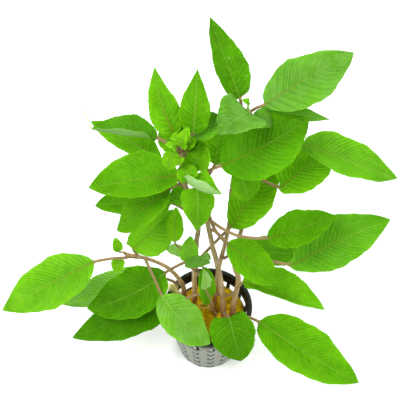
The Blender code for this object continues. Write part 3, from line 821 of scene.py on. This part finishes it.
def build_leaf(leaf, stem, materials, number):
    """A leaf as one closed thin skin: a petiole that opens into a quilted, toothed blade."""
    length = math.dist(leaf.base, leaf.tip)
    across = np.array(WIDE_ACROSS if leaf.width > LARGE_LEAF else NARROW_ACROSS, float)
    spine = Spine(leaf, stem)
    steps = max(30, ROWS_PER_VEIN * max(5, round(length / leaf.veins)))
    blade_rows = TIP_START * np.linspace(0, 1, steps) ** ROW_CROWDING
    rows = np.concatenate([np.arange(-spine.stalk, 0), blade_rows])
    left, right = (BladeHalf(leaf, way, rows, across, length, number) for way in (-1, 1))

    def around(part):
        """A part of both halves: over the upper side from right to left, and back underneath."""
        first, last = getattr(right, part), getattr(left, part)
        return np.hstack([first[:, :0:-1], last, last[:, ::-1], first[:, 1:]])

    step, place = around("step"), around("place")
    upper = step.shape[1] // 2
    turn = np.linspace(0, math.pi, upper)
    turns = np.concatenate([turn, -turn[::-1]])
    size = np.full((len(rows), 1), petiole_radius(leaf))
    size[:spine.stalk, 0] *= 1 + STALK_FLARE * np.exp(-np.arange(spine.stalk) / 2.5)
    blade_share = np.maximum(rows, 0)[:, None]
    flat = smoothstep(blade_share / OPEN_ROW)
    offset = BLADE_THICKNESS / 2 * (1 - MARGIN_THINNING * step)
    rib = RIB_LEAST + RIB_SWELL * (1 - blade_share) ** 0.7
    rib = rib * np.exp(-((step * leaf.width / 2 / RIB_REACH) ** 2))
    offset[:, upper:] = -(offset + rib)[:, upper:]
    x = size * np.cos(turns) * (1 - flat) + (around("x") + around("lean") * offset) * flat
    z = size * np.sin(turns) * (1 - flat) + (around("z") + around("rise") * offset) * flat
    moves = ((x, spine.side), (z, spine.up), (-around("back") * flat, spine.along))
    skin = spine.at(place, spine.line) + sum(move[..., None] * spine.at(place, way) for move, way in moves)
    points = np.vstack([skin.reshape(-1, 3), leaf.tip])
    faces, kinds = leaf_faces(len(rows), 2 * upper, upper)
    thing = new_piece(f"green_{leaf.number:02d}", points, faces, materials, kinds)
    share = np.maximum(place, 0)
    leaf_place = np.stack([around("phase"), step, share], axis=-1).reshape(-1, 3)
    leaf_mm = np.stack([around("x"), share * length, 0 * share + number], axis=-1).reshape(-1, 3)
    store(thing, "leaf_place", np.vstack([leaf_place, (0, 0, 1)]))
    store(thing, "leaf_mm", np.vstack([leaf_mm, (0, length, number)]))
    store(thing, "leaf_tint", np.tile((leaf.light, leaf.pale, leaf.blush), (len(points), 1)))
    if leaf in LEAVES:
        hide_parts(leaf.name)


def leaf_faces(rings, sides, upper):
    """Faces of a leaf's closed skin: kind 0 is its upper side and kind 1 its underside."""
    faces, kinds = [tuple(range(sides))], [0]
    tip = rings * sides
    for i in range(sides):
        j = (i + 1) % sides
        for low in range(0, tip - sides, sides):
            faces.append((low + j, low + i, low + sides + i, low + sides + j))
        faces.append((tip - sides + j, tip - sides + i, tip))
        kinds += [int(upper <= i < sides - 1)] * rings
    return faces, kinds


def wall_radius(z):
    share = z / (POT_HEIGHT - LIP_HEIGHT)
    return BASE_RADIUS + (TOP_RADIUS - BASE_RADIUS) * share


def off_rib(angle):
    """How far an angle is from that of the nearest rib, as a share of the ribs' pitch."""
    turns = (np.degrees(angle) - FIRST_RIB_DEGREES) * RIBS / 360
    return np.abs(turns - np.round(turns))


def beside_rib(points):
    """How far points near the pot's wall are to the side of their nearest rib, in mm."""
    x, y = np.asarray(points, float).T[:2]
    return off_rib(np.arctan2(y, x)) * 2 * math.pi / RIBS * np.hypot(x, y)


class Shell:
    """Points and faces gathered by name, so that neighbours share their corners."""

    def __init__(self):
        self.points = []
        self.index = {}
        self.faces = []
        self.kinds = []

    def point(self, key, radius, angle, height):
        if key not in self.index:
            self.index[key] = len(self.points)
            self.points.append((radius * math.cos(angle), radius * math.sin(angle), height))
        return self.index[key]

    def face(self, *corners, kind=0):
        """A face, with a corner that comes twice taken once."""
        self.faces.append(tuple(dict.fromkeys(corners)))
        self.kinds.append(kind)

    def cell(self, point, solid, u, v, kind=0):
        """A cell of a grid with two skins, closed at each side that has no solid neighbour."""
        corners = ((u, v), (u + 1, v), (u + 1, v + 1), (u, v + 1))
        a, b, c, d = (point(*corner, 0) for corner in corners)
        e, f, g, h = (point(*corner, 1) for corner in corners)
        self.face(a, b, c, d, kind=kind)
        self.face(f, e, h, g)
        sides = {(-1, 0): (e, a, d, h), (1, 0): (b, f, g, c), (0, -1): (e, f, b, a), (0, 1): (d, c, g, h)}
        for (across, up), side in sides.items():
            if not solid(u + across, v + up):
                self.face(*side)


def pot_levels():
    """Heights of the wall's grid lines, and whether the strip above each is a row of windows."""
    levels = [(0, False)]
    for row in reversed(range(WINDOW_ROWS)):
        top = BAND_BOTTOM - row * ROW_PITCH
        levels += [(top - (ROW_PITCH - THIN_RING), True), (top, False)]
    levels.append((POT_HEIGHT - LIP_HEIGHT, False))
    heights = []
    for (low, window), (high, _) in zip(levels, levels[1:]):
        pieces = max(1, round((high - low) / LEVEL_STEP))
        heights += [(low + (high - low) * i / pieces, window) for i in range(pieces)]
    return heights + [levels[-1]]


def column_angle(column, radius):
    """Angle of a grid line of the wall: a rib's edges and middle, then even steps over the window."""
    rib, part = divmod(column, COLUMNS)
    pitch = 2 * math.pi / RIBS
    edge = RIB_WIDTH / 2 / radius
    spots = [-edge, 0, edge] + [edge + (pitch - 2 * edge) * i / (COLUMNS - 2) for i in range(1, COLUMNS - 2)]
    return math.radians(FIRST_RIB_DEGREES) + pitch * rib + spots[part]


def build_pot_wall(black, outer):
    """The net pot's wall: ribs and thin rings round open windows, a plain band and a turned-out lip."""
    sides = RIBS * COLUMNS
    heights = pot_levels()
    top = len(heights) - 1
    shell = Shell()

    def wall_point(column, level, inner):
        column = column % sides
        height = heights[level][0]
        radius = wall_radius(height)
        angle = column_angle(column, radius)
        return shell.point((column, level, inner), radius - WALL * inner, angle, height)

    def solid(column, level):
        """Whether the wall's cell is plastic, as the lip over its top cells is."""
        window = 0 <= level < top and heights[level][1]
        return level >= 0 and (not window or column % COLUMNS in (0, 1))

    for level in range(top):
        # Below the band the outer faces take the grey material: a painted reflection of the white floor on
        # black plastic
        kind = int(heights[level][0] < BAND_BOTTOM - 0.01)
        for column in range(sides):
            if solid(column, level):
                shell.cell(wall_point, solid, column, level, kind)
    profile = (
        (RIM_RADIUS - 0.25, POT_HEIGHT - LIP_HEIGHT),
        (RIM_RADIUS, POT_HEIGHT - LIP_HEIGHT + 0.3),
        (RIM_RADIUS, POT_HEIGHT - LIP_EDGE),
        (RIM_RADIUS - LIP_EDGE, POT_HEIGHT),
        (TOP_RADIUS - WALL + LIP_EDGE, POT_HEIGHT),
        (TOP_RADIUS - WALL, POT_HEIGHT - LIP_EDGE),
    )
    turns = [column_angle(column, TOP_RADIUS) for column in range(sides)]
    loops = [[wall_point(column, top, 0) for column in range(sides)]]
    for number, (radius, height) in enumerate(profile):
        loops.append([shell.point((column, "lip", number), radius, turns[column], height)
                      for column in range(sides)])
    loops.append([wall_point(column, top, 1) for column in range(sides)])
    for low, high in zip(loops, loops[1:]):
        for column in range(sides):
            after = (column + 1) % sides
            shell.face(low[column], low[after], high[after], high[column])
    thing = new_piece("pot_wall", shell.points, shell.faces, [black, outer], shell.kinds)
    thing.data.set_sharp_from_angle(angle=math.radians(SHARP_DEGREES))
    beside = beside_rib(shell.points)
    store(thing, "pot_place", np.column_stack([beside, 0 * beside, 0 * beside]))
    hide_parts("net_pot")


def build_pot_floor(black):
    """The pot's floor: a disc with a ring of slots between the ribs."""
    parts = 6
    sides = RIBS * parts
    radii = (0, 4, SLOT_INNER_RADIUS, 11, 13, SLOT_OUTER_RADIUS, BASE_RADIUS - WALL - 0.02)
    shell = Shell()

    def floor_point(ring, column, lower):
        column = column % sides if ring else 0
        angle = math.radians(FIRST_RIB_DEGREES) + 2 * math.pi * column / sides
        return shell.point((ring, column, lower), radii[ring], angle, FLOOR * (1 - lower))

    def solid(ring, column):
        slot = 2 <= ring < 5 and column % parts in (2, 3)
        return ring < len(radii) - 1 and not slot

    for ring in range(len(radii) - 1):
        for column in range(sides):
            if solid(ring, column):
                shell.cell(floor_point, solid, ring, column)
    thing = new_piece("pot_floor", shell.points, shell.faces, [black])
    thing.data.set_sharp_from_angle(angle=math.radians(SHARP_DEGREES))


def wool_side_radius(angle, height):
    """The plug's side: pillows that fill the windows low down, and a narrower top clear of the wall."""
    beside = 2 * float(off_rib(angle))
    rows = (BAND_BOTTOM + THIN_RING / 2 - height) / ROW_PITCH
    below_ring = rows - math.floor(rows)
    fullness = 1 - abs(2 * below_ring - 1)
    power = 3.2 + 3 * fullness
    pillow = 1.7 * (1 - (1 - beside) ** power) * (0.95 + 0.05 * fullness)
    full = wall_radius(height) - WALL - 0.25 + pillow
    front = float(smoothstep((-math.sin(angle) - 0.45) / 0.4))
    low = WOOL_SWELL_TOP + (WOOL_FRONT_SWELL_TOP - WOOL_SWELL_TOP) * front
    high = WOOL_SHOULDER + (WOOL_FRONT_SHOULDER - WOOL_SHOULDER) * front
    return full + (WOOL_TOP_RADIUS - full) * float(smoothstep((height - low) / (high - low)))


def spot_on_wool(chance, reach):
    """A random place on the wool's round top, within a reach of its middle."""
    radius = reach * math.sqrt(chance.random())
    angle = chance.uniform(0, 2 * math.pi)
    return WOOL_LEAN + radius * math.cos(angle), radius * math.sin(angle)


def lump_field():
    """Seeded lumps of the wool's top: place, reach and height."""
    chance = random.Random(5)
    lumps = []
    for _ in range(LUMPS):
        place = spot_on_wool(chance, WOOL_TOP_RADIUS - 1)
        lumps.append((*place, chance.uniform(1.5, 3.4), chance.uniform(0.6, 3.4)))
    return np.array(lumps)


def build_wool(material):
    """The rock wool plug: tufted on top with a crevice, swelling into the windows down its side."""
    sides = RIBS * COLUMNS
    lumps = lump_field()
    edge = WOOL_TOP - 1.5
    points, marks = [], []
    rings = WOOL_SIDE_LEVELS + WOOL_TOP_RINGS
    for i in range(rings):
        inward = max(0, i - WOOL_SIDE_LEVELS + 1) / WOOL_TOP_RINGS
        level = min(i / (WOOL_SIDE_LEVELS - 1), 1)
        height = WOOL_BOTTOM + (edge - WOOL_BOTTOM) * level
        for k in range(sides):
            angle = math.radians(FIRST_RIB_DEGREES) + 2 * math.pi * k / sides
            radius = wool_side_radius(angle, height) * (1 - inward) + 0.02
            lean = WOOL_LEAN * float(smoothstep((height - WOOL_SWELL_TOP) / (WOOL_SHOULDER - WOOL_SWELL_TOP)))
            x = radius * math.cos(angle) + lean
            y = radius * math.sin(angle)
            fine = noise.fractal(Vector((x, y, height)) * 0.8, 0.9, 2.0, 3)
            if not inward:
                swell = 1 + 0.008 * fine
                points.append((x * swell, y * swell, height))
                marks.append((float(smoothstep((height - 35) / 3 + math.sin(angle) - 0.2)), 0))
                continue
            away = (x - lumps[:, 0]) ** 2 + (y - lumps[:, 1]) ** 2
            lump = float(np.max(lumps[:, 3] * np.exp(-away / lumps[:, 2] ** 2)))
            crevice = math.exp(-(((x - 3.5) / 2.2) ** 2) - ((y - 2) / 4.5) ** 2)
            rise = 1.2 * math.sqrt(inward) + lump * min(1, inward * 8) + 0.5 * fine
            points.append((x, y, edge + rise - 4.5 * crevice))
            # The second mark is painted shade, deepest in the crevice and where the top lies low between
            # lumps
            marks.append((1, max(0, min(1, 1 - lump) * 0.6, crevice)))
    thing = new_piece("wool_plug", points, tube_faces(rings, sides), [material])
    store(thing, "pot_place", np.column_stack([beside_rib(points), marks]))
    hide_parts("rock_wool")


def fibre_lines():
    """Loose curved fibres that stand off the wool's top."""
    chance = random.Random(11)
    shares = np.linspace(0, 1, 5)[:, None]
    for _ in range(FIBRES):
        start = np.array([*spot_on_wool(chance, 0.98 * WOOL_TOP_RADIUS), WOOL_TOP - 0.6])
        heading = unit([chance.gauss(0, 1), chance.gauss(0, 1), chance.uniform(0.1, 0.9)])
        turn = np.array([chance.gauss(0, 1), chance.gauss(0, 1), chance.uniform(-1.2, 0.2)])
        length = chance.uniform(1.6, 4.0)
        yield start + heading * length * shares + turn * length * 0.35 * shares**2


def tuft_lines():
    """A pale tuft of loose wool that reaches from the plug up to the rim's left."""
    chance = random.Random(3)
    shares = np.linspace(0, 1, 7)[:, None]
    for _ in range(TUFT_STRANDS):
        start = np.array(TUFT_FOOT) + [chance.gauss(0, 0.8), chance.gauss(0, 0.8), 0]
        end = np.array(TUFT_END) + [chance.gauss(0, 1.3), chance.gauss(0, 1.2), chance.gauss(0, 0.7)]
        bow = np.array([chance.gauss(0, 0.8), chance.gauss(0, 0.8), 1.5 + chance.gauss(0, 0.5)])
        yield start + (end - start) * shares + bow * 4 * shares * (1 - shares)


def smooth_line(given):
    """A smooth line through given points."""
    at = np.linspace(0, len(given) - 1, 22)
    line = np.column_stack([np.interp(at, range(len(given)), part) for part in zip(*given)])
    for _ in range(6):
        line[1:-1] = (line[:-2] + 2 * line[1:-1] + line[2:]) / 4
    return line


def build_strands(name, lines, radius, sides, material):
    """Thin tapered tubes along lines, as one piece."""
    points, faces = [], []
    for line in lines:
        start = len(points)
        taper = radius * np.linspace(1, 0.25, len(line))[:, None]
        points.extend(tube(line, taper, -even_turns(sides), (0.3, 0.2, 0.93)))
        faces += [tuple(start + corner for corner in face) for face in tube_faces(len(line), sides)]
    new_piece(name, points, faces, [material])


def build_floor():
    """A plain white floor for the pot to stand on, as bright as a lit studio sweep."""
    corners = [(x * FLOOR_REACH, y * FLOOR_REACH, 0) for x, y in ((-1, -1), (1, -1), (1, 1), (-1, 1))]
    mesh = bpy.data.meshes.new("floor")
    mesh.from_pydata(corners, [], [(0, 1, 2, 3)])
    nodes = Nodes("floor_white")
    white = (0.95, 0.95, 0.95)
    lit = {"Emission_Color": (1, 1, 1), "Emission_Strength": 0.12}
    mesh.materials.append(nodes.finish(nodes.principled(white, 0.9, 0.0, **lit)))
    floor = put_in_scene("floor", mesh)
    floor.location.z = -0.2 * MM


def add_light(name, place, aim, size, power):
    """A soft square lamp aimed at a height over the pot's middle."""
    data = bpy.data.lights.new(name, "AREA")
    data.shape = "SQUARE"
    data.size = size
    data.energy = power
    lamp = put_in_scene(name, data)
    lamp.location = place
    lamp.rotation_euler = (Vector((0, 0, aim)) - Vector(place)).to_track_quat("-Z", "Y").to_euler()


def build_studio():
    """Soft light from above and both sides, and a camera that looks down at the pot."""
    scene = bpy.context.scene
    world = bpy.data.worlds.new("studio")
    world.use_nodes = True
    sky = world.node_tree.nodes["Background"]
    sky.inputs["Color"].default_value = (1, 1, 1, 1)
    sky.inputs["Strength"].default_value = SKY_STRENGTH
    scene.world = world
    for lamp in LAMPS:
        add_light(*lamp)
    camera = bpy.data.cameras.new("camera")
    camera.lens = CAMERA_LENS
    camera.sensor_width = 36
    camera.sensor_fit = "HORIZONTAL"
    camera.clip_start = 0.05
    eye = put_in_scene("camera", camera)
    eye.location = CAMERA_PLACE
    eye.rotation_euler = (math.radians(CAMERA_TILT_DEGREES), 0, 0)
    scene.camera = eye
    scene.view_settings.view_transform = "Standard"


def main():
    for thing in list(bpy.data.objects):
        bpy.data.objects.remove(thing, do_unlink=True)
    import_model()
    build_studio()
    build_floor()
    black = pot_material("pot_black", (0.009, 0.01, 0.005), 0.45, 0.6, 0.12)
    # The wall's outer faces are black plastic painted grey as a reflection of the white floor, with painted
    # shadow Vs
    build_pot_wall(black, pot_material("pot_outer", (0.25, 0.27, 0.23), 0.35, 0.5, 0.4, notch_shadowed=True))
    build_pot_floor(black)
    build_wool(wool_material())
    fibre = strand_material("wool_strand", (0.5, 0.33, 0.003), (0.82, 0.64, 0.03))
    build_strands("wool_fibres", fibre_lines(), FIBRE_RADIUS, 3, fibre)
    pale = strand_material("wool_pale", (0.96, 0.85, 0.28), (0.98, 0.93, 0.5))
    build_strands("wool_tuft", tuft_lines(), TUFT_RADIUS, 4, pale)
    root = strand_material("root_skin", (0.7, 0.58, 0.36), (0.88, 0.8, 0.6))
    build_strands("roots", map(smooth_line, ROOTS), 0.26, 8, root)
    runner = strand_material("runner_skin", (0.3, 0.22, 0.07), (0.5, 0.3, 0.18))
    build_strands("runners", map(smooth_line, RUNNERS), 0.45, 8, runner)
    thread = strand_material("thread_skin", (0.36, 0.58, 0.16), (0.56, 0.74, 0.34))
    build_strands("tip_thread", map(smooth_line, THREADS), 0.5, 8, thread)
    skin = stem_material()
    for stem in STEMS:
        build_stem(stem, skin)
    upper = leaf_material("leaf_upper", UPPER_GREENS, UPPER_BLOOM_SHEEN, UPPER_VEINS, 0.45, 0.03)
    under = leaf_material("leaf_under", UNDER_GREENS, UNDER_BLOOM_SHEEN, UNDER_VEINS, 0.5, 0.06)
    stems = {stem.name: stem for stem in STEMS}
    for number, leaf in enumerate(LEAVES + YOUNG):
        build_leaf(leaf, stems[leaf.stem], [upper, under], number)


main()
